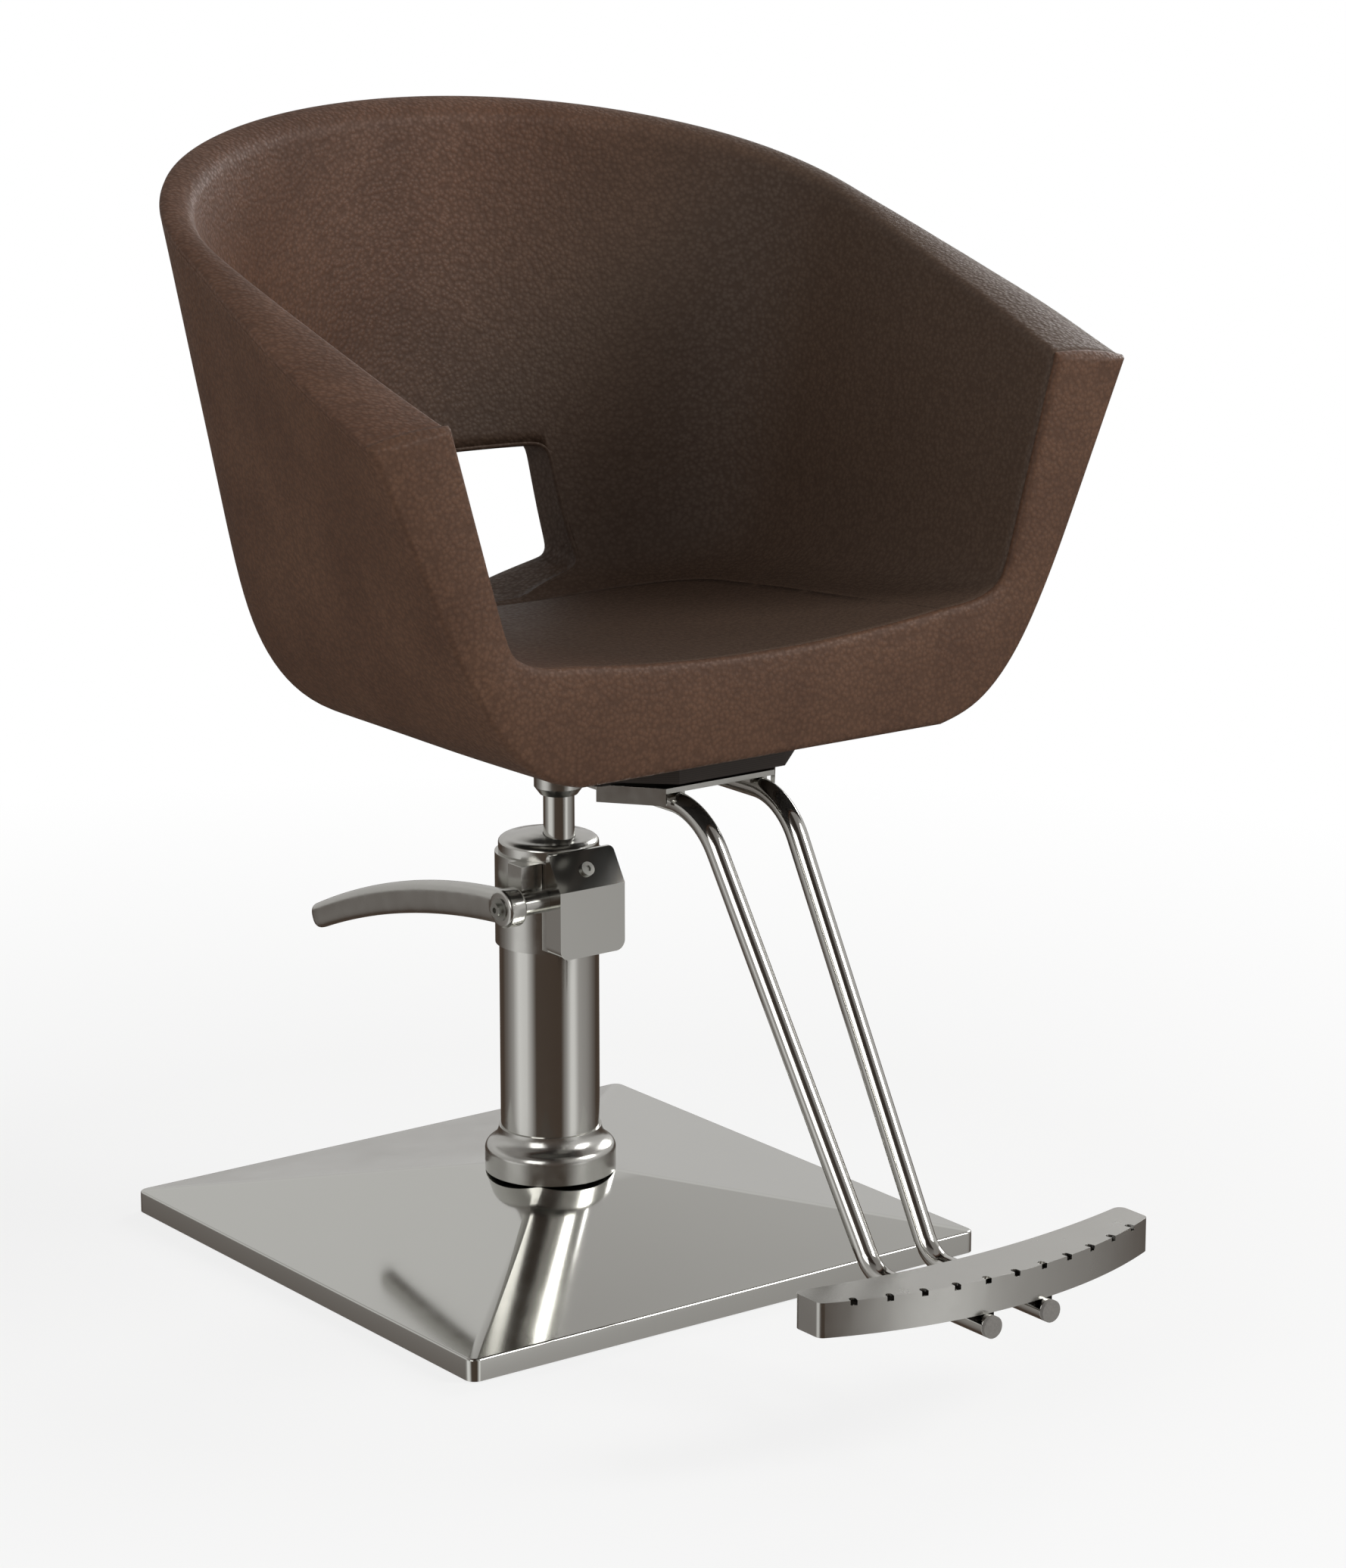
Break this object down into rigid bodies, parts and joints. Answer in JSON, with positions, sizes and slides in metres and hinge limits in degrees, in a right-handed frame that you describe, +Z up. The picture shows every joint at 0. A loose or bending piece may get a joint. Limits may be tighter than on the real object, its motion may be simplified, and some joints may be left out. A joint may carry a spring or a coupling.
{
  "type": "hairdressing chair",
  "caption": "Salon styling chair: leather tub seat with a window in its back, on a hydraulic pump with a side pedal and a square pyramid base, with a curved footrest on bent tubes.",
  "frame": {"origin": "centre of the square base, on the floor, on the pump's axis", "axes": "+Z up; the sitter faces -Y and the footrest is on that side; the sitter's left is +X; the pedal is on the -X side"},
  "size_m": [0.67, 0.7987, 0.8654],
  "materials": {
    "chrome": "polished chrome plate",
    "steel": "bright machined steel",
    "iron": "black painted steel plate",
    "brass": "machined bronze",
    "rubber": "moulded black rubber",
    "wood": "moulded and flat plywood",
    "leather": "dark brown upholstery leather, fine grain, low sheen",
    "lining": "dark brown upholstery leather over foam",
    "cloth": "black woven dust cloth"
  },
  "bodies": {
    "base": {"floor_pad": "rubber", "ballast_plate": "iron", "base_cover": "chrome", "pump_pillar": "steel", "pillar_bolts": "steel", "pump_flange": "chrome", "pump_cylinder": "chrome", "pressure_tube": "steel", "pump_head": "chrome", "head_cap": "chrome", "ram_gland": "brass", "ram_seal": "rubber", "valve_block": "chrome", "mechanism_cover": "chrome", "cover_screw": "steel", "pump_barrel": "brass", "plunger_spring": "steel"},
    "lift": {"ram_piston": "steel", "piston_ring": "rubber", "ram": "chrome", "piston_nut": "steel"},
    "seat": {"hub_socket": "chrome", "seat_plate": "iron", "plate_bolts": "steel", "mounting_board": "wood", "seat_pan": "wood", "underside_cloth": "cloth", "tub_shell": "wood", "outer_cover": "leather", "tub_lining": "lining", "front_band": "leather", "seat_cushion": "lining", "footrest_bracket": "iron", "bracket_bolts": "steel", "footrest_tube_left": "chrome", "footrest_tube_right": "chrome", "tube_plugs": "rubber", "footplate": "chrome"},
    "pedal": {"pedal_lever": "chrome", "pivot_shaft": "steel", "rocker_fork": "steel", "pedal_screw": "steel"},
    "plunger": {"pump_plunger": "steel"}
  },
  "joints": [
    {"name": "seat_lift", "type": "slide", "parent": "base", "child": "lift", "axis": [0, 0, 1], "range_m": [-0.025, 0.115]},
    {"name": "seat_swivel", "type": "hinge", "parent": "lift", "child": "seat", "pos_m": [0, -0.014, 0.38], "axis": [0, 0, 1], "continuous": true},
    {"name": "pedal_pivot", "type": "hinge", "parent": "base", "child": "pedal", "pos_m": [0, -0.036, 0.281], "axis": [1, 0, 0], "range_deg": [-20, 0], "stiffness_Nm_per_rad": 10, "springref_deg": 17.19},
    {"name": "plunger_slide", "type": "slide", "parent": "base", "child": "plunger", "axis": [0, 0, 1], "range_m": [0, 0.0044], "deforming": ["plunger_spring"]}
  ],
  "couplings": [
    {"joint": "plunger_slide", "follows": "pedal_pivot", "m_per_rad": -0.012}
  ]
}
